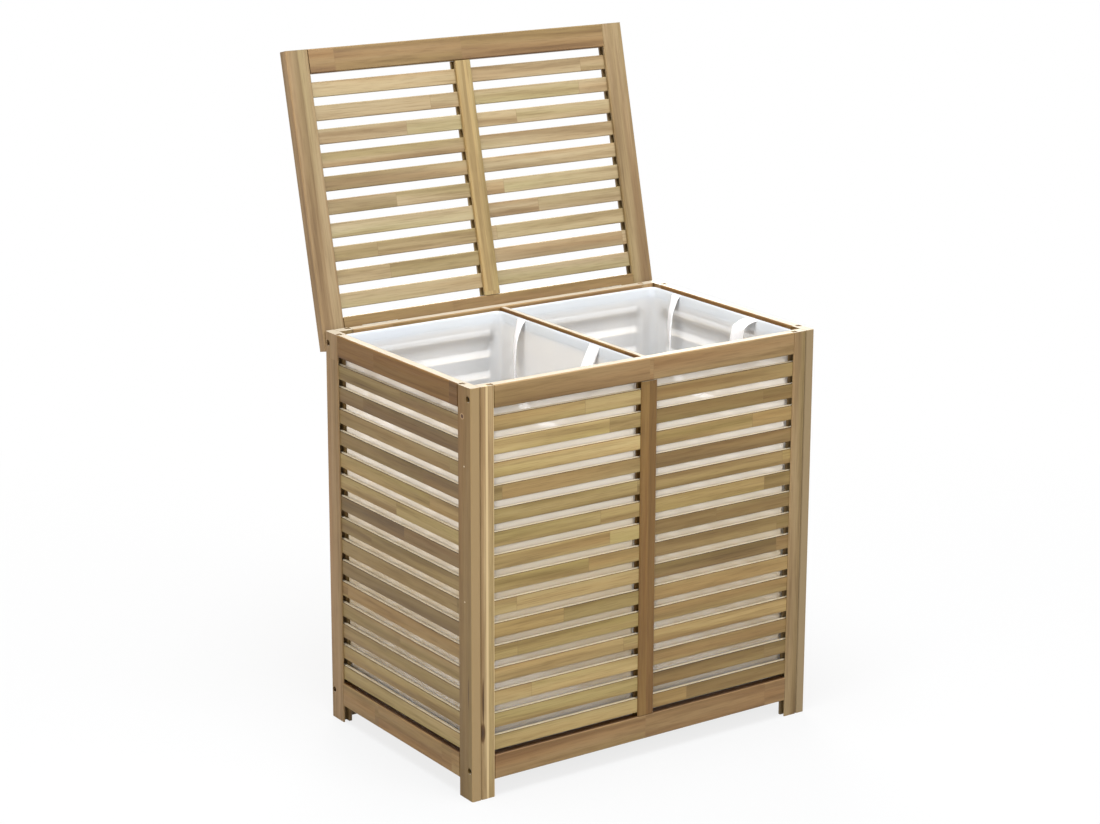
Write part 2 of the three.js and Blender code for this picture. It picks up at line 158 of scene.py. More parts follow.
def oiled_wood(name, tones, grain, cell, start=(0, 0, 0), on_lid=False, upright=None,
               blocks=None, laminae=None, right_darkening=None, top_light_tone=None, arris_shade_tint=None, marks_and_painted_shade=()):
    """Oiled hardwood, sawn and sanded: a satin surface with soft streaks along the grain, fine
    pores, and boards that each have their own tone.
    cell and start part the space into boards. upright is an axis, a place, a half width and a
    tone, for a stile whose grain runs up. blocks is the length of finger-jointed blocks in metres,
    laminae an axis and the width of the strips that a stile is glued from, and right_darkening the
    tint that darkens the boards on the right. top_light_tone is painted light: a paler tone for
    the faces that look up; arris is painted shade: a tint that darkens the eased edges round them.
    flaws are marks in the wood, and painted shade in the slit above the bottom rails, each with
    its middle, its half sizes and its tones from the middle outwards."""
    material, tree = new_material(name)
    place = add(tree, "TexCoord").outputs["Object"]
    if on_lid:
        place = add(tree, "Mapping", place, tuple(lid_shift), (LID_LEAN, 0, 0)).outputs[0]
    parts = add(tree, "SeparateXYZ", place)
    offset = add(tree, "VectorMath", place, start, operation="SUBTRACT").outputs[0]
    share = add(tree, "VectorMath", offset, cell, operation="DIVIDE").outputs[0]
    number = add(tree, "VectorMath", share, operation="FLOOR").outputs[0]
    stretch = STRETCH[grain]
    stile = None
    if upright:
        axis, middle, half, upright_tone = upright
        stile = add(tree, "Math", parts.outputs[axis], middle, half,
                    operation="COMPARE").outputs[0]
        lying = add(tree, "Math", 1.0, stile, operation="SUBTRACT").outputs[0]
        # Boards above each other are one board in the stile
        kept = add(tree, "CombineXYZ", 1.0, 1.0, lying).outputs[0]
        number = add(tree, "VectorMath", number, kept, operation="MULTIPLY").outputs[0]
        stretch = add(tree, "Mix", stile, sockets={4: stretch, 5: STRETCH["z"]},
                      data_type="VECTOR").outputs[1]
    board = add(tree, "TexWhiteNoise", number, noise_dimensions="3D")

    # Blocks glued end to end with fingers
    block = board
    joint = None
    if blocks:
        run = parts.outputs[grain.upper()]
        finger = add(tree, "Math", parts.outputs[FINGERS_ALONG[grain]], FINGER_WIDTH,
                     operation="PINGPONG").outputs[0]
        run = add(tree, "Math", finger, FINGER_LENGTH / FINGER_WIDTH, run,
                  operation="MULTIPLY_ADD").outputs[0]
        run = add(tree, "Math", run, blocks, operation="DIVIDE").outputs[0]
        run = add(tree, "Math", board.outputs["Value"], BLOCK_SPREAD, run,
                  operation="MULTIPLY_ADD").outputs[0]
        count = add(tree, "Math", run, operation="FLOOR").outputs[0]
        if stile:
            count = add(tree, "Math", count, lying, operation="MULTIPLY").outputs[0]
        block = add(tree, "TexWhiteNoise", number, count, noise_dimensions="4D")
        rest = add(tree, "Math", run, operation="FRACT").outputs[0]
        joint = add(tree, "Math", rest, JOINT_WIDTH / blocks, operation="LESS_THAN").outputs[0]
        joint = add(tree, "Math", joint, JOINT_SHARE, operation="MULTIPLY").outputs[0]
        if stile:
            joint = add(tree, "Math", joint, lying, operation="MULTIPLY").outputs[0]

    stops = [(i / (len(tones) - 1), code) for i, code in enumerate(tones)]
    tone = add(tree, "ValToRGB", board.outputs["Value"], stops=stops).outputs[0]
    if blocks:
        block_tone = add(tree, "ValToRGB", block.outputs["Value"], stops=stops).outputs[0]
        tone = add(tree, "Mix", BLOCK_SHARE, sockets={6: tone, 7: block_tone},
                   data_type="RGBA").outputs[2]
    if stile:
        tone = add(tree, "Mix", stile, sockets={6: tone, 7: colour(upright_tone)},
                   data_type="RGBA").outputs[2]

    # The grain, from another place of its pattern in each block
    figure = add(tree, "VectorMath", place, stretch, operation="MULTIPLY").outputs[0]
    figure = add(tree, "VectorMath", block.outputs["Color"], PATTERN_SPREAD, figure,
                 operation="MULTIPLY_ADD").outputs[0]
    surface = tone
    patterns = {}
    for part, (settings, strength, tints) in GRAIN.items():
        patterns[part] = add(tree, "TexNoise", figure, sockets=settings).outputs[0]
        shade = add(tree, "ValToRGB", patterns[part], stops=tints).outputs[0]
        surface = add(tree, "Mix", strength, sockets={6: surface, 7: shade},
                      data_type="RGBA", blend_type="MULTIPLY").outputs[2]

    # The boards on the right are drawn darker
    if right_darkening:
        right = add(tree, "Math", parts.outputs["X"], 0.0, operation="GREATER_THAN").outputs[0]
        surface = add(tree, "Mix", right, sockets={6: surface, 7: colour(right_darkening)},
                      data_type="RGBA", blend_type="MULTIPLY").outputs[2]
    if laminae:
        # Strips glued side by side, each with its own tone
        axis, width = laminae
        strip = add(tree, "Math", patterns["streak"], SEAM_WANDER, parts.outputs[axis],
                    operation="MULTIPLY_ADD").outputs[0]
        strip = add(tree, "Math", strip, width, operation="DIVIDE").outputs[0]
        strip = add(tree, "Math", strip, operation="FLOOR").outputs[0]
        strip = add(tree, "TexWhiteNoise", number, strip, noise_dimensions="4D").outputs["Value"]
        strip = add(tree, "ValToRGB", strip, stops=STRIP_TINTS).outputs[0]
        surface = add(tree, "Mix", STRIP_SHARE, sockets={6: surface, 7: strip},
                      data_type="RGBA", blend_type="MULTIPLY").outputs[2]
    if joint:
        surface = add(tree, "Mix", joint, sockets={6: surface, 7: colour(JOINT_GLUE)},
                      data_type="RGBA").outputs[2]
    # Painted light and shade: a paler tone on the faces that look up, and a darker tint on the
    # eased edges round them
    if top_light_tone:
        normal = add(tree, "NewGeometry").outputs["True Normal"]
        rise = add(tree, "SeparateXYZ", normal).outputs["Z"]
        if arris_shade_tint:
            edge = add(tree, "Math", rise, ARRIS_RISE, ARRIS_SPREAD,
                       operation="COMPARE").outputs[0]
            surface = add(tree, "Mix", edge, sockets={6: surface, 7: colour(arris_shade_tint)},
                          data_type="RGBA", blend_type="MULTIPLY").outputs[2]
        facing = add(tree, "Math", rise, TOP_RISE, operation="GREATER_THAN").outputs[0]
        facing = add(tree, "Math", facing, TOP_SHARE, operation="MULTIPLY").outputs[0]
        # The tone of the faces that look up is painted light
        sanded = colour(top_light_tone)
        if stile:
            sanded = add(tree, "Mix", stile, sockets={6: sanded, 7: colour(PAINTED_TOP_LIGHT)},
                         data_type="RGBA").outputs[2]
        surface = add(tree, "Mix", facing, sockets={6: surface, 7: sanded},
                      data_type="RGBA").outputs[2]
    # Marks in the wood, and the painted shade in the slit above the bottom rails
    for middle, size, stops in marks_and_painted_shade:
        away = add(tree, "VectorMath", place, middle, operation="SUBTRACT").outputs[0]
        away = add(tree, "VectorMath", away, size, operation="DIVIDE").outputs[0]
        away = add(tree, "VectorMath", away, operation="LENGTH").outputs["Value"]
        near = add(tree, "ValToRGB", away, stops=FADE).outputs[0]
        mark = add(tree, "ValToRGB", away, stops=stops).outputs[0]
        surface = add(tree, "Mix", near, sockets={6: surface, 7: mark},
                      data_type="RGBA").outputs[2]

    rough = add(tree, "MapRange", patterns["streak"], sockets={
        "From Min": 0.3, "From Max": 0.7, "To Min": 0.58, "To Max": 0.42}).outputs[0]
    bump = add(tree, "Bump", sockets={
        "Strength": 0.3, "Distance": 0.25 * MM, "Height": patterns["pores"]}).outputs[0]
    shader = add(tree, "BsdfPrincipled", sockets={
        "Base Color": surface, "Roughness": rough, "IOR": 1.48, "Specular IOR Level": 0.4,
        "Normal": bump})
    add(tree, "OutputMaterial", shader.outputs[0])
    return material


# Tones of the boards, of which each board gets one by chance
SLAT_TONES = ["#78653F", "#9F8A5C", "#B6A271", "#907C4B", "#AF9C6B", "#735F37", "#A28F5E"]
# The side panels' tones, here and in the other SIDE_ lists below, are darker than the front's:
# partly the boards' own tone, partly painted shade of the sides, which face away from the light
SIDE_TONES = ["#6A5534", "#8E7A4C", "#79643E", "#9B885A", "#5B4828", "#867146"]
LEFT_STILE_TONES = ["#AE9A76", "#A7926E", "#B3A07F"]
RIGHT_STILE_TONES = ["#978463", "#907D5C", "#9B8A6A"]
SIDE_STILE_TONES = ["#7A653C", "#765F39"]
RAIL_TONES = ["#8F7550", "#886E48", "#947B56"]
SIDE_RAIL_TONES = ["#664719", "#6E501D"]
SIDE_BOTTOM_RAIL_TONES = ["#7E643B", "#887143"]
LID_TONES = ["#8A7556", "#8E7B5C", "#866F4E"]
LID_RAIL_TONES = ["#7D643F", "#836A45"]
LID_SLAT_TONES = ["#948160", "#A09271", "#8B7755", "#A4987D", "#988866"]
# Tones of stiles that are one piece with slats, the tint that darkens the boards on the right, the
# painted light on faces that look up and the painted shade on the eased edges round them
CENTRE_STILE_TONE = "#795D2E"
SIDE_BACK_STILE_TONE = "#866D4B"
LID_CENTRE_STILE_TONE = "#9C8A5F"
RIGHT_BOARDS_TINT = "#E8E0D6"
PAINTED_TOP_LIGHT = "#A09583"
SLAT_PAINTED_TOP_LIGHT = "#D6CAB0"
SLAT_ARRIS_PAINTED_SHADE = "#9E9078"

# Tones of marks in the wood, from the middle outwards, and last the painted shade on the bottom
# rails' upper faces, which show in the slit below the last slats
PALE_EDGE = [(0.0, "#907852"), (1.0, "#87714A")]
GREY_EDGE = [(0.0, "#837051"), (1.0, "#7B6849")]
CRACK = [(0.0, "#33200A"), (0.8, "#573B18")]
BRAD = [(0.0, "#D9CFBC"), (0.6, "#BFB096")]
KNOT = [(0.0, "#40200A"), (0.55, "#4A2A0E"), (0.66, "#A08661"), (0.9, "#8F7654")]
SAPWOOD = [(0.0, "#C1AA80"), (0.9, "#B0986E")]
DARK_STREAK = [(0.0, "#7F6640"), (0.9, "#94794F")]
SLIT_SHADE_TONES = [(0.0, "#3A2002"), (0.9, "#432806")]

front_y, back_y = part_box("front_top_rail")[0].y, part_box("back_top_rail")[1].y
side_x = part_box("right_side_top_rail")[1].x
left_x = -side_x
slit_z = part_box("front_bottom_rail")[1].z + 1 * MM

# Boards: the pitch of the slats and the place of a first gap, half the width of the stiles that
# are one piece with slats, and the width of the strips that the other stiles are glued from
SLAT_PITCH, FIRST_GAP = 33.2 * MM, 561.5 * MM
LID_SLAT_PITCH, LID_FIRST_GAP = 34.58 * MM, 23.6 * MM
CENTRE_HALF, LID_CENTRE_HALF, SIDE_STILE_HALF = 14 * MM, 13.5 * MM, 17 * MM
STILE_STRIP, SIDE_STILE_STRIP, LID_STILE_STRIP = 7 * MM, 11 * MM, 14 * MM
# Cells of the space in metres, with one board in each
STILE_CELL = (0.3, 0.2, 2)
RAIL_CELL = (2.0, 0.2, 0.3)

# Marks placed as in the photograph: middle, half size in metres and tones. The first is painted
# shade on the bottom rails' upper faces in the slit below the last slats; the rest are marks in
# the wood
PAINTED_SLIT_SHADE = ((0, 0, slit_z), (3.0, 3.0, 2 * MM), SLIT_SHADE_TONES)
LEFT_STILE_MARKS = [
    ((left_x + 25.6 * MM, front_y, 350 * MM), (2.5 * MM, 9 * MM, 0.9), SAPWOOD),
    ((left_x + 37 * MM, front_y, 350 * MM), (1.2 * MM, 9 * MM, 0.7), SAPWOOD),
    ((left_x + 19.4 * MM, front_y, 470 * MM), (0.9 * MM, 9 * MM, 0.2), DARK_STREAK),
    ((left_x + 17.6 * MM, front_y, 100 * MM), (4.6 * MM, 9 * MM, 17 * MM), CRACK),
    ((left_x + 18.2 * MM, front_y, 146 * MM), (2.0 * MM, 4 * MM, 40 * MM), CRACK),
]
SIDE_STILE_MARKS = [
    ((left_x, front_y, 300 * MM), (0.3, 2 * MM, 2.0), PALE_EDGE),
    ((side_x, front_y, 300 * MM), (0.3, 2 * MM, 2.0), GREY_EDGE),
    ((left_x, front_y + 22 * MM, 557 * MM), (8 * MM, 5.5 * MM, 5 * MM), KNOT),
    ((left_x, front_y + 10 * MM, 160 * MM), (8 * MM, 1.5 * MM, 30 * MM), CRACK),
    ((0, front_y + 17.6 * MM, 487 * MM), (2.0, 1.4 * MM, 1.4 * MM), BRAD),
    ((0, front_y + 17.6 * MM, 292 * MM), (2.0, 1.4 * MM, 1.4 * MM), BRAD),
]

BOARDS = {
    "front_slats": {
        "tones": SLAT_TONES, "grain": "x", "cell": (0.6, 0.2, SLAT_PITCH),
        "start": (0, 0, FIRST_GAP), "upright": ("X", 0, CENTRE_HALF, CENTRE_STILE_TONE),
        "blocks": 0.43, "right_darkening": RIGHT_BOARDS_TINT, "top_light_tone": SLAT_PAINTED_TOP_LIGHT, "arris_shade_tint": SLAT_ARRIS_PAINTED_SHADE},
    "side_slats": {
        "tones": SIDE_TONES, "grain": "y", "cell": (0.6, 2, SLAT_PITCH),
        "start": (0, -1, FIRST_GAP), "blocks": 0.51, "top_light_tone": SLAT_PAINTED_TOP_LIGHT, "arris_shade_tint": SLAT_ARRIS_PAINTED_SHADE,
        "upright": ("Y", back_y - SIDE_STILE_HALF, SIDE_STILE_HALF, SIDE_BACK_STILE_TONE)},
    "right_stiles": {
        "tones": RIGHT_STILE_TONES, "grain": "z", "cell": STILE_CELL, "start": (0.15, 0, 0),
        "laminae": ("X", STILE_STRIP), "top_light_tone": PAINTED_TOP_LIGHT},
    "left_stiles": {
        "tones": LEFT_STILE_TONES, "grain": "z", "cell": STILE_CELL, "start": (0.15, 0, 0),
        "laminae": ("X", STILE_STRIP), "top_light_tone": PAINTED_TOP_LIGHT, "marks_and_painted_shade": LEFT_STILE_MARKS},
    "side_stiles": {
        "tones": SIDE_STILE_TONES, "grain": "z", "cell": STILE_CELL,
        "laminae": ("Y", SIDE_STILE_STRIP), "top_light_tone": PAINTED_TOP_LIGHT, "marks_and_painted_shade": SIDE_STILE_MARKS},
    "rails": {
        "tones": RAIL_TONES, "grain": "x", "cell": RAIL_CELL, "blocks": 0.47,
        "top_light_tone": PAINTED_TOP_LIGHT, "marks_and_painted_shade": [PAINTED_SLIT_SHADE]},
    "side_rails": {
        "tones": SIDE_RAIL_TONES, "grain": "y", "cell": RAIL_CELL, "blocks": 0.43,
        "top_light_tone": PAINTED_TOP_LIGHT},
    "side_bottom_rails": {
        "tones": SIDE_BOTTOM_RAIL_TONES, "grain": "y", "cell": RAIL_CELL, "blocks": 0.43,
        "top_light_tone": PAINTED_TOP_LIGHT, "marks_and_painted_shade": [PAINTED_SLIT_SHADE]},
    "lid_slats": {
        "tones": LID_SLAT_TONES, "grain": "x", "cell": (0.6, 1, LID_SLAT_PITCH),
        "start": (0, -0.5, LID_FIRST_GAP), "on_lid": True, "blocks": 0.41,
        "upright": ("X", 0, LID_CENTRE_HALF, LID_CENTRE_STILE_TONE)},
    "lid_stiles": {
        "tones": LID_TONES, "grain": "z", "cell": (0.3, 1, 2), "start": (0.1, -0.5, -1),
        "on_lid": True, "laminae": ("X", LID_STILE_STRIP)},
    "lid_rails": {
        "tones": LID_RAIL_TONES, "grain": "x", "cell": (2, 1, 0.2), "start": (0, -0.5, 0.1),
        "on_lid": True, "blocks": 0.52},
}
finishes = {part: oiled_wood(f"oiled_wood_{part}", **board) for part, board in BOARDS.items()}


def plywood():
    """Birch plywood, sanded: pale, with the broad figure of peeled veneer."""
    material, tree = new_material("birch_plywood")
    place = add(tree, "TexCoord").outputs["Object"]
    stretched = add(tree, "VectorMath", place, (4, 26, 200), operation="MULTIPLY").outputs[0]
    figure = add(tree, "TexNoise", stretched, sockets={
        "Scale": 1.0, "Detail": 4.0, "Distortion": 1.5}).outputs[0]
    surface = add(tree, "ValToRGB", figure, stops=[
        (0.3, "#BFA377"), (0.5, "#D2BA90"), (0.7, "#DBC7A2")]).outputs[0]
    shader = add(tree, "BsdfPrincipled", sockets={"Base Color": surface, "Roughness": 0.7})
    add(tree, "OutputMaterial", shader.outputs[0])
    return material


def plated_steel(name, tone, spots, roughness):
    """Plated steel, pressed and tumbled: a cool metal with faint clouding in its tone and
    gloss."""
    material, tree = new_material(name)
    place = add(tree, "TexCoord").outputs["Object"]
    cloud = add(tree, "TexNoise", place, sockets={"Scale": 240.0, "Detail": 3.0}).outputs[0]
    surface = add(tree, "ValToRGB", cloud, stops=[(0.3, spots), (0.6, tone)]).outputs[0]
    rough = add(tree, "MapRange", cloud, sockets={
        "From Min": 0.3, "From Max": 0.7,
        "To Min": roughness + 0.12, "To Max": roughness}).outputs[0]
    shader = add(tree, "BsdfPrincipled", sockets={
        "Base Color": surface, "Metallic": 1.0, "Roughness": rough})
    add(tree, "OutputMaterial", shader.outputs[0])
    return material


# Width of the threads in the bags' cloth and of the yarns in the webbing
THREAD, YARN = 1.2 * MM, 2.2 * MM
# How much light a cloth scatters to its other side, and how sheer it is
CLOTH_GLOW, CLOTH_SHEER = 0.06, 0.5
WEBBING_GLOW, WEBBING_SHEER = 0.3, 0.0
# Painted shade on the bags' outside, by height in metres: the cloth gets duller and warmer towards
# its foot, where little light gets down behind the slats
PAINTED_FOOT_SHADE = [(0.062, "#6E5538"), (0.078, "#9F8C62"), (0.28, "#E0D3B4"), (0.43, "#FFFFFF")]


def woven_cloth(name, warp, shadow, through, sheer, thread, weave, foot_shade_stops=None):
    """Woven polyester: white, matt and thin enough that the light between the slats shows
    through it. The threads are drawn coarser than they are, so that they show.
    warp and shadow are the cloth's tones, through is the share of light that it scatters to its
    other side, sheer the share that passes straight, and heights the tints of a painted shade by
    height, which darken the cloth towards its foot."""
    material, tree = new_material(name)
    place = add(tree, "UVMap", uv_map="cloth").outputs[0]
    across = add(tree, "VectorMath", place, (1 / thread, 1 / thread, 0),
                 operation="MULTIPLY").outputs[0]
    if weave == "webbing":
        threads = add(tree, "TexWave", across, sockets={
            "Scale": 0.32, "Distortion": 0.6, "Detail": 1.0},
                      bands_direction="DIAGONAL").outputs["Fac"]
    else:
        threads = add(tree, "TexChecker", across, sockets={"Scale": 1.0}).outputs["Fac"]
    object_place = add(tree, "TexCoord").outputs["Object"]
    cloud = add(tree, "TexNoise", object_place, sockets={"Scale": 14.0, "Detail": 3.0}).outputs[0]
    surface = add(tree, "ValToRGB", cloud, stops=[(0.3, shadow), (0.6, warp)]).outputs[0]
    dim = add(tree, "ValToRGB", threads, stops=[(0.0, "#FAFAFA"), (1.0, "#FFFFFF")]).outputs[0]
    surface = add(tree, "Mix", 1.0, sockets={6: surface, 7: dim},
                  data_type="RGBA", blend_type="MULTIPLY").outputs[2]
    # Painted shade: the tints by height make the cloth duller and warmer towards its foot
    if foot_shade_stops:
        height = add(tree, "SeparateXYZ", object_place).outputs["Z"]
        tint = add(tree, "ValToRGB", height, stops=foot_shade_stops).outputs[0]
        surface = add(tree, "Mix", 1.0, sockets={6: surface, 7: tint},
                      data_type="RGBA", blend_type="MULTIPLY").outputs[2]
    bump = add(tree, "Bump", sockets={
        "Strength": 0.12, "Distance": 0.2 * MM, "Height": threads}).outputs[0]
    front = add(tree, "BsdfPrincipled", sockets={
        "Base Color": surface, "Roughness": 0.85, "IOR": 1.45, "Specular IOR Level": 0.2,
        "Alpha": 1 - sheer, "Normal": bump}).outputs[0]
    warm = add(tree, "Mix", 1.0, sockets={6: surface, 7: colour("#FFF6EA")},
               data_type="RGBA", blend_type="MULTIPLY").outputs[2]
    behind = add(tree, "BsdfTranslucent", warm).outputs[0]
    both = add(tree, "MixShader", through, front, behind)
    add(tree, "OutputMaterial", both.outputs[0])
    return material


bag_cloth = woven_cloth("woven_polyester_bag_cloth", "#FFF4E4", "#FFF2DF",
                        CLOTH_GLOW, CLOTH_SHEER, THREAD, "plain", PAINTED_FOOT_SHADE)
bag_lining = woven_cloth("woven_polyester_bag_lining", "#F5FAFF", "#F1F7FF",
                         CLOTH_GLOW, CLOTH_SHEER, THREAD, "plain")
webbing_cloth = woven_cloth("woven_polyester_webbing", "#FAFAFC", "#F4F5F8",
                            WEBBING_GLOW, WEBBING_SHEER, YARN, "webbing")
hinge_steel = plated_steel("zinc_plated_hinge_steel", "#C9C7C0", "#B2AFA6", 0.32)
bolt_steel = plated_steel("blackened_bolt_steel", "#3A3835", "#2B2927", 0.42)
birch_plywood = plywood()


def finish_of(name):
    """The finish of a CAD node."""
    if name == "base_panel":
        return birch_plywood
    if "bolt" in name:
        return bolt_steel
    if "hinge" in name:
        return hinge_steel
    if name.startswith("lid"):
        if "slats" in name:
            return finishes["lid_slats"]
        return finishes["lid_stiles" if "stile" in name else "lid_rails"]
    if name.endswith("_slats"):
        return finishes["front_slats"]
    if "side_back_stile" in name:
        return finishes["side_slats"]
    if "side_front_stile" in name:
        return finishes["side_stiles"]
    if "stile" in name:
        return finishes["left_stiles" if "left" in name else "right_stiles"]
    if "side" in name or name == "divider_rail":
        return finishes["side_bottom_rails" if "bottom" in name else "side_rails"]
    return finishes["rails"]


# All nodes but the bags and handles, which cloth pieces replace
for name, node in nodes.items():
    if name.endswith(("_bag", "_handle")):
        continue
    for material_slot in node.material_slots:
        material_slot.material = finish_of(name)


# Bags

def rounded_ring(low, high, radius, spacing):
    """Places round a rectangle with round corners, each with its distance along the ring and
    the direction inwards, and the length of the ring."""
    centres = [(high.x - radius, high.y - radius), (low.x + radius, high.y - radius),
               (low.x + radius, low.y + radius), (high.x - radius, low.y + radius)]
    straights = (high.y - low.y - 2 * radius, high.x - low.x - 2 * radius) * 2
    arc = radius * math.pi / 2
    total = sum(straights) + 4 * arc
    count = round(total / spacing)
    places = []
    for i in range(count):
        left = total * i / count
        side = 0
        while left > straights[side] + arc:
            left -= straights[side] + arc
            side += 1
        turn = side * math.pi / 2 + max(0.0, left - straights[side]) / radius
        outward = Vector((math.cos(turn), math.sin(turn)))
        forward = Vector((-outward.y, outward.x))
        short = max(0.0, straights[side] - left)
        place = Vector(centres[side]) + outward * radius - forward * short
        places.append((place, total * i / count, -outward))
    return places, total


# Radii of a bag's upright corners and of the bend to its floor, and the thickness of its cloth
BAG_CORNER, BAG_BEND = 12 * MM, 12 * MM
CLOTH = 0.5 * MM
# Room between the cloth and the solid's outline, and between the wall's last row and the rim
BAG_INSET = 0.8 * MM
RIM_DROP = 1.2 * MM
# The hem's length, and its rows: how far in and how far below the rim, in millimetres
HEM_ROWS = ((0.4, 0.4), (0.9, 0.2), (1.2, 0.7), (1.1, 5), (0.9, 10), (0.6, 15), (0.1, 20))
# Spacing of the mesh, and its rows in the floor and the bend
SPACING = 5.4 * MM
FLOOR_ROWS, BEND_ROWS = 22, 5
# Waves in the cloth: how close they are round the bag and up it, and how deep
BROAD_ROUND, BROAD_UP, BROAD_DEPTH = 7, 5, 5.0 * MM
FOLD_ROUND, FOLD_UP, FOLD_DEPTH = 22, 4, 1.6 * MM
RIPPLE_ROUND, RIPPLE_DEPTH = 14, 3 * MM
SAG = 2.2 * MM
SWELL_RIPPLE = 0.3 * MM


def apply_modifiers(piece):
    """Applies a piece's modifiers, in their order."""
    bpy.ops.object.select_all(action="DESELECT")
    bpy.context.view_layer.objects.active = piece
    piece.select_set(True)
    for modifier in list(piece.modifiers):
        bpy.ops.object.modifier_apply(modifier=modifier.name)
    piece.select_set(False)


def finish_sheet(mesh, name, cloths, thickness, offset):
    """Makes a piece of a flat mesh, and gives it the thickness of its cloth. cloths are the
    materials of its faces and, where there are two, of the side that lies inwards."""
    bmesh.ops.recalc_face_normals(mesh, faces=mesh.faces)
    for face in mesh.faces:
        face.smooth = True
    data = bpy.data.meshes.new(name)
    mesh.to_mesh(data)
    mesh.free()
    for cloth in cloths:
        data.materials.append(cloth)
    piece = bpy.data.objects.new(name, data)
    bpy.context.scene.collection.objects.link(piece)
    wall = piece.modifiers.new("thickness", "SOLIDIFY")
    wall.thickness = thickness
    wall.offset = offset
    wall.material_offset = len(cloths) - 1
    apply_modifiers(piece)
    return piece


def between(value, low, high, soft):
    """Rises softly from 0 to 1 above the low end, and falls again towards the high end."""
    rise, fall = (min(1.0, max(0.0, t / soft)) for t in (value - low, high - value))
    return (rise * fall) ** 2 * (3 - 2 * rise) * (3 - 2 * fall)


# The walls swell into the room behind the slats: how far, between which heights, between which
# distances from the middle at the front and the back and which places at the sides, and over
# what length the swell starts beside the rails and the stiles
SWELL = 6.6 * MM
RAIL_EDGES = (78 * MM, 567 * MM)
STILE_EDGES = (14.5 * MM, 261.5 * MM)
SIDE_EDGES = (front_y + 34.5 * MM, back_y - 34.5 * MM)
RAIL_EASE, STILE_EASE = 22 * MM, 6 * MM


def fabric_bag(hand, seed):
    """A bag sewn from a cross-shaped cut, with a hem folded to the inside. Its walls swell
    towards the slats, and sag softly inwards elsewhere."""
    low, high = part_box(f"{hand}_bag")
    places, total = rounded_ring(low, high, BAG_CORNER, SPACING)
    centre = Vector(((low.x + high.x) / 2, (low.y + high.y) / 2))
    height = high.z - low.z

    # Profile of the bag from the middle of its floor to the inner edge of its hem: for the
    # floor the share of its width, and then how far in from the outline and how high
    profile = [("floor", i / FLOOR_ROWS, BAG_INSET) for i in range(1, FLOOR_ROWS)]
    for i in range(BEND_ROWS):
        angle = i / BEND_ROWS * math.pi / 2
        profile.append(("wall", BAG_BEND * (1 - math.sin(angle)),
                        BAG_BEND * (1 - math.cos(angle)) + BAG_INSET))
    rows = round((height - BAG_BEND) / SPACING)
    for i in range(rows + 1):
        profile.append(("wall", 0.0, BAG_BEND + (height - BAG_BEND - RIM_DROP) * i / rows))
    hem_row = len(profile)
    for inset, fall in HEM_ROWS:
        profile.append(("wall", inset * MM, height - fall * MM))

    mesh = bmesh.new()
    cloth_map = mesh.loops.layers.uv.new("cloth")
    middle = mesh.verts.new((centre.x, centre.y, low.z + BAG_INSET))
    rings = []
    lengths = [0.0]
    for part, inset, rise in profile:
        ring = []
        for place, along, inward in places:
            z = low.z + rise
            if part == "floor":
                edge = place + inward * (BAG_BEND + BAG_INSET)
                point = centre + (edge - centre) * inset
                ripple = noise.noise(Vector((
                    point.x * RIPPLE_ROUND + seed, point.y * RIPPLE_ROUND, seed)))
                z += max(0.0, ripple) * RIPPLE_DEPTH * (1 - inset)
            else:
                # The rim and the foot hold the wall straight
                fade = max(0.0, math.sin(math.pi * min(1.0, rise / height))) ** 0.7
                swell = 0.0
                if abs(inward.y) > 0.7:
                    swell = between(abs(place.x), *STILE_EDGES, STILE_EASE)
                elif abs(place.x) > side_x / 2:
                    swell = between(place.y, *SIDE_EDGES, STILE_EASE)
                swell *= between(z, *RAIL_EDGES, RAIL_EASE)
                broad = noise.noise(Vector((
                    place.x * BROAD_ROUND + seed, place.y * BROAD_ROUND - seed, rise * BROAD_UP)))
                fold = noise.noise(Vector((
                    place.x * FOLD_ROUND + seed, place.y * FOLD_ROUND, rise * FOLD_UP + seed)))
                sag = max(0.0, (SAG + BROAD_DEPTH * broad + FOLD_DEPTH * fold) * fade)
                out = (SWELL + SWELL_RIPPLE * fold) * swell
                point = place + inward * (BAG_INSET + sag * (1 - swell) + inset - out)
            ring.append(mesh.verts.new((point.x, point.y, z)))
        if rings:
            lengths.append(lengths[-1] + (ring[0].co - rings[-1][0].co).length)
        rings.append(ring)
    count = len(places)
    for i in range(count):
        j = (i + 1) % count
        mesh.faces.new((middle, rings[0][i], rings[0][j]))
        spans = (total * i / count, total * (i + 1) / count)
        for row in range(len(rings) - 1):
            face = mesh.faces.new((rings[row][i], rings[row][j],
                                   rings[row + 1][j], rings[row + 1][i]))
            face.material_index = 1 if row > hem_row else 0
            ends = ((0, row), (1, row), (1, row + 1), (0, row + 1))
            for loop, (end, at) in zip(face.loops, ends):
                loop[cloth_map].uv = (spans[end], lengths[at])
    bag = finish_sheet(mesh, f"{hand}_fabric_bag", (bag_cloth, bag_lining), CLOTH, -1)
    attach(bag, "root")
    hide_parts(f"{hand}_bag")


STRAP_WIDTH = 24 * MM
STRAP_THICKNESS = 1.4 * MM
# Vertices across a strap, and steps along it between two knots
STRAP_COLUMNS = 7
SPAN_STEPS = 8


def smooth_curve(points, steps):
    """Places on a smooth curve through the points."""
    ends = [points[0] * 2 - points[1], *points, points[-1] * 2 - points[-2]]
    curve = []
    for before, start, end, after in zip(ends, ends[1:], ends[2:], ends[3:]):
        for i in range(steps):
            t = i / steps
            curve.append(0.5 * (2 * start + (end - before) * t
                                + (2 * before - 5 * start + 4 * end - after) * t ** 2
                                + (3 * start - before - 3 * end + after) * t ** 3))
    curve.append(points[-1].copy())
    return curve


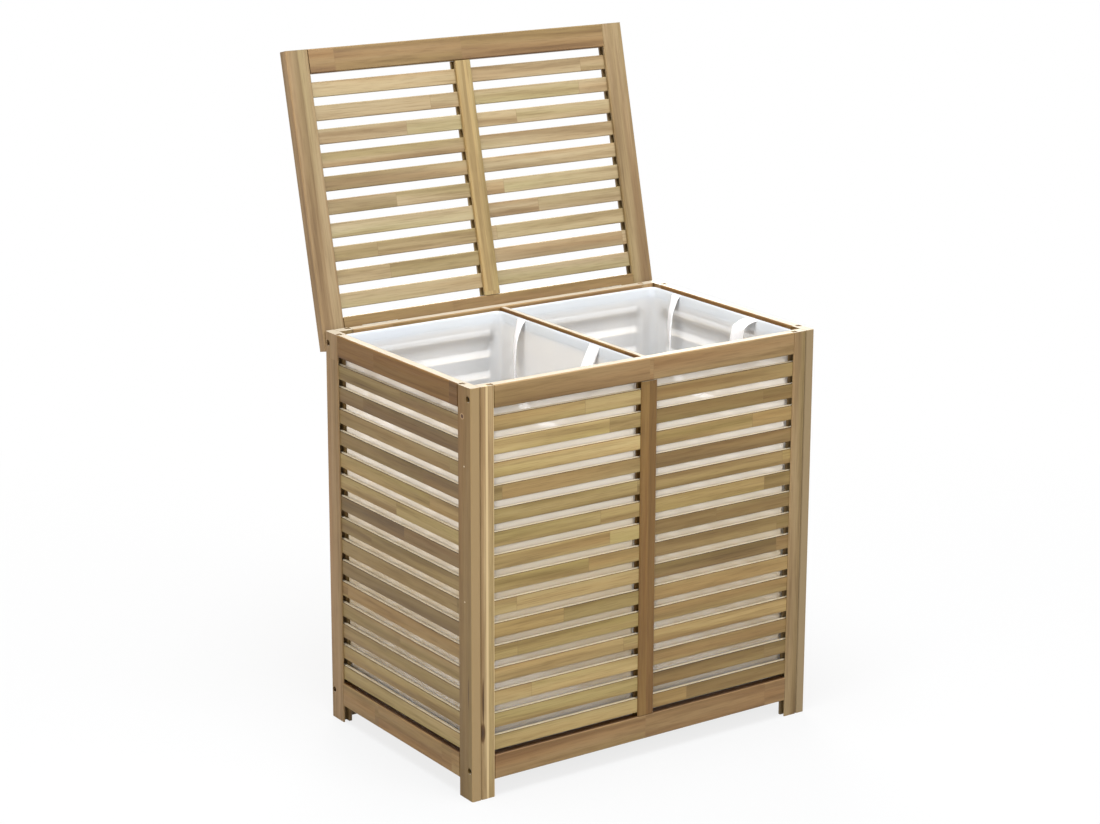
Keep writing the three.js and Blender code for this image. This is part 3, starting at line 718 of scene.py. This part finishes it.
# Knots of a strap's leg from the rim to the bottom of the loop: the share of half its span, the
# depth from the wall and the height below the rim in millimetres, and the turn in degrees
FRONT_LEG = ((1.0, 1.0, -1.5, 0), (1.0, 4.0, -8, 2), (0.99, 7.5, -17, 4), (0.97, 12, -32, 9),
             (0.92, 18, -66, 24), (0.78, 20, -111, 50), (0.42, 20, -136, 76), (0.0, 20, -141, 90))
REAR_LEG = ((1.0, 1.0, -1.5, 0), (1.0, 4.0, -8, 13), (0.99, 8.0, -18, 20), (0.98, 13, -34, 24),
            (0.93, 18, -66, 29), (0.78, 20, -111, 50), (0.42, 20, -136, 76), (0.0, 20, -141, 90))
# A leg that stands away from the wall like half an arch
ARCHED_LEG = ((1.0, 1.0, -3.5, 0), (1.0, 11, -4.5, 1), (0.99, 21, -9, 3), (0.98, 27, -18, 8),
              (0.92, 28, -60, 24), (0.78, 24, -111, 50), (0.42, 20, -136, 76), (0.0, 20, -141, 90))


def webbing_handle(name, wall, inward, hand, front_leg, rear_leg):
    """A webbing strap, sewn under the rim by both ends. Its legs stand a little away from the
    wall and turn a quarter on their way down, so that the loop's bottom lies flat."""
    low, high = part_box(name)
    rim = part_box(f"{hand}_bag")[1].z
    middle = (low.y + high.y) / 2
    half_span = (high.y - low.y - STRAP_WIDTH) / 2

    line = []
    for side, knots in ((1, rear_leg), (-1, front_leg)):
        knots = [Vector((wall + inward * depth * MM, middle + side * share * half_span,
                         rim + height * MM, math.radians(turn)))
                 for share, depth, height, turn in knots]
        # Each place on the leg with the way in which the strap is wide there
        leg = [(Vector(knot[:3]),
                Vector((-inward * math.sin(knot[3]), side * math.cos(knot[3]), 0)))
               for knot in smooth_curve(knots, SPAN_STEPS)]
        line = line + leg[-2::-1] if line else leg

    mesh = bmesh.new()
    cloth_map = mesh.loops.layers.uv.new("cloth")
    rows = []
    lengths = [0.0]
    for i, (place, width) in enumerate(line):
        before, after = line[max(0, i - 1)][0], line[min(len(line) - 1, i + 1)][0]
        ahead = (after - before).normalized()
        width = (width - ahead * width.dot(ahead)).normalized()
        rows.append([mesh.verts.new(place + width * (k / (STRAP_COLUMNS - 1) - 0.5) * STRAP_WIDTH)
                     for k in range(STRAP_COLUMNS)])
        if i:
            lengths.append(lengths[-1] + (place - before).length)
    for i in range(len(rows) - 1):
        for k in range(STRAP_COLUMNS - 1):
            face = mesh.faces.new((rows[i][k], rows[i][k + 1],
                                   rows[i + 1][k + 1], rows[i + 1][k]))
            ends = ((k, i), (k + 1, i), (k + 1, i + 1), (k, i + 1))
            for loop, (column, row) in zip(face.loops, ends):
                loop[cloth_map].uv = (STRAP_WIDTH * column / (STRAP_COLUMNS - 1), lengths[row])
    strap = finish_sheet(mesh, f"{name}_webbing", (webbing_cloth,), STRAP_THICKNESS, 0)
    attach(strap, "root")
    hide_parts(name)


fabric_bag("left", 3.7)
fabric_bag("right", 11.2)

for hand, place, front_leg in (
        ("left", "inner", FRONT_LEG), ("left", "outer", FRONT_LEG),
        ("right", "inner", FRONT_LEG), ("right", "outer", ARCHED_LEG)):
    name = f"{hand}_bag_{place}_handle"
    low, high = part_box(name)
    bag_low, bag_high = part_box(f"{hand}_bag")
    on_low_wall = low.x - bag_low.x < bag_high.x - high.x
    webbing_handle(name, bag_low.x if on_low_wall else bag_high.x, 1 if on_low_wall else -1,
                   hand, front_leg, REAR_LEG)


# Hinge screws: countersunk heads with a cross recess, in the holes of the leaves
SCREW_HEAD_RADIUS = 1.62 * MM
SCREW_HEIGHT = 1.1 * MM
SCREW_RIM = 0.12 * MM
CROSS_BAR = (2.0 * MM, 0.4 * MM, 0.9 * MM)
SCREW_PITCH = 21 * MM
# How far the holes lie below the pin's line, and a leaf's face in front of it or behind it
SCREW_DROP = 7.95 * MM
LEAF_FACE = 2.2 * MM


def countersunk_screw():
    """A countersunk screw head that looks along +Z, with a cross sunk into it."""
    bpy.ops.object.select_all(action="DESELECT")
    bpy.ops.mesh.primitive_cylinder_add(vertices=24, radius=SCREW_HEAD_RADIUS, depth=SCREW_HEIGHT)
    head = bpy.context.active_object
    rim = head.modifiers.new("rim", "BEVEL")
    rim.width = SCREW_RIM
    rim.segments = 2
    bars = []
    for turn in (0, math.pi / 2):
        bpy.ops.object.select_all(action="DESELECT")
        bpy.ops.mesh.primitive_cube_add(size=1, location=(0, 0, SCREW_HEIGHT / 2),
                                        rotation=(0, 0, turn), scale=CROSS_BAR)
        bars.append(bpy.context.active_object)
        recess = head.modifiers.new("recess", "BOOLEAN")
        recess.operation = "DIFFERENCE"
        recess.object = bars[-1]
    apply_modifiers(head)
    for bar in bars:
        bpy.data.objects.remove(bar)
    head.data.materials.clear()
    head.data.materials.append(hinge_steel)
    return head


screw_pattern = countersunk_screw()
lean = Matrix.Rotation(-LID_LEAN, 4, "X")
for hand in ("left", "right"):
    for leaf, body, outward, tilt in (("body", "root", 1, Matrix()), ("lid", "lid", -1, lean)):
        leaf_low, leaf_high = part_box(f"{hand}_hinge_{leaf}_leaf")
        for i in (-1, 0, 1):
            along = (leaf_low.x + leaf_high.x) / 2 + i * SCREW_PITCH
            depth = -outward * (LEAF_FACE + SCREW_HEIGHT / 2)
            spot = Matrix.Translation((along, pin_line.y, pin_line.z)) @ tilt
            spot = spot @ Matrix.Translation((0, depth, -SCREW_DROP))
            spot = spot @ Matrix.Rotation(-outward * math.pi / 2, 4, "X")
            screw = screw_pattern.copy()
            screw.data = screw_pattern.data.copy()
            screw.data.transform(spot)
            screw.name = f"{hand}_hinge_{leaf}_screw_{i + 2}"
            bpy.context.scene.collection.objects.link(screw)
            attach(screw, body)
bpy.data.objects.remove(screw_pattern)


# Floor, light and background

def seen_directly(tree):
    """Whether a surface is seen by the camera, or in glossy or through clear things: 1 or 0."""
    ray = add(tree, "LightPath").outputs
    seen = add(tree, "Math", ray["Is Camera Ray"], ray["Is Glossy Ray"],
               operation="MAXIMUM").outputs[0]
    return add(tree, "Math", seen, ray["Is Transmission Ray"], operation="MAXIMUM").outputs[0]


bpy.ops.object.select_all(action="DESELECT")
bpy.ops.mesh.primitive_circle_add(vertices=96, radius=9, fill_type="NGON", location=(0, 0, 0))
studio_floor = bpy.context.active_object
studio_floor.name = "studio_floor"
floor_paint, tree = new_material("white_studio_floor")
# White all over a little way off, with room for the shadow near the hamper
away = add(tree, "TexCoord").outputs["Object"]
away = add(tree, "VectorMath", away, operation="LENGTH").outputs["Value"]
share = add(tree, "MapRange", away, sockets={
    "From Min": 0.6, "From Max": 1.7, "To Min": 0.8, "To Max": 1.0}).outputs[0]
direct = add(tree, "Math", seen_directly(tree), share, operation="MULTIPLY").outputs[0]
paint = add(tree, "BsdfDiffuse", colour("#AAAAAA"))
glow = add(tree, "Emission", colour("#FFFFFF"), 1.0)
both = add(tree, "MixShader", direct, paint.outputs[0], glow.outputs[0])
add(tree, "OutputMaterial", both.outputs[0])
studio_floor.data.materials.append(floor_paint)

WORLD_LIGHT = 0.68
world = bpy.data.worlds.new("studio")
bpy.context.scene.world = world
world.use_nodes = True
tree = world.node_tree
tree.nodes.clear()
lit = add(tree, "Background", colour("#FFFFFF"), WORLD_LIGHT)
white = add(tree, "Background", colour("#FFFFFF"), 1.0)
both = add(tree, "MixShader", seen_directly(tree), lit.outputs[0], white.outputs[0])
add(tree, "OutputWorld", both.outputs[0])


def softbox(name, place, target, size, power, tint):
    """A square softbox, aimed at a target, with its size in metres and its power in watts."""
    data = bpy.data.lights.new(name, "AREA")
    data.shape = "SQUARE"
    data.size = size
    data.energy = power
    data.color = colour(tint)[:3]
    lamp = bpy.data.objects.new(name, data)
    bpy.context.scene.collection.objects.link(lamp)
    aim = Vector(target) - Vector(place)
    turn = aim.to_track_quat("-Z", "Y").to_matrix().to_4x4()
    lamp.matrix_world = Matrix.Translation(place) @ turn


softbox("front_softbox", (1.3, -3.4, 2.6), (0, 0, 0.5), 1.8, 75, "#FFFAF3")
softbox("top_softbox", (-0.6, -0.7, 4.2), (0, 0, 0.5), 2.4, 290, "#F4F9FF")
softbox("left_softbox", (-3.5, -0.6, 1.5), (0, 0, 0.4), 1.8, 45, "#FFF1DC")
softbox("back_softbox", (1.7, 3.3, 1.5), (0, 0, 0.4), 2.0, 150, "#FFF8EE")

bpy.context.scene.view_settings.view_transform = "Standard"
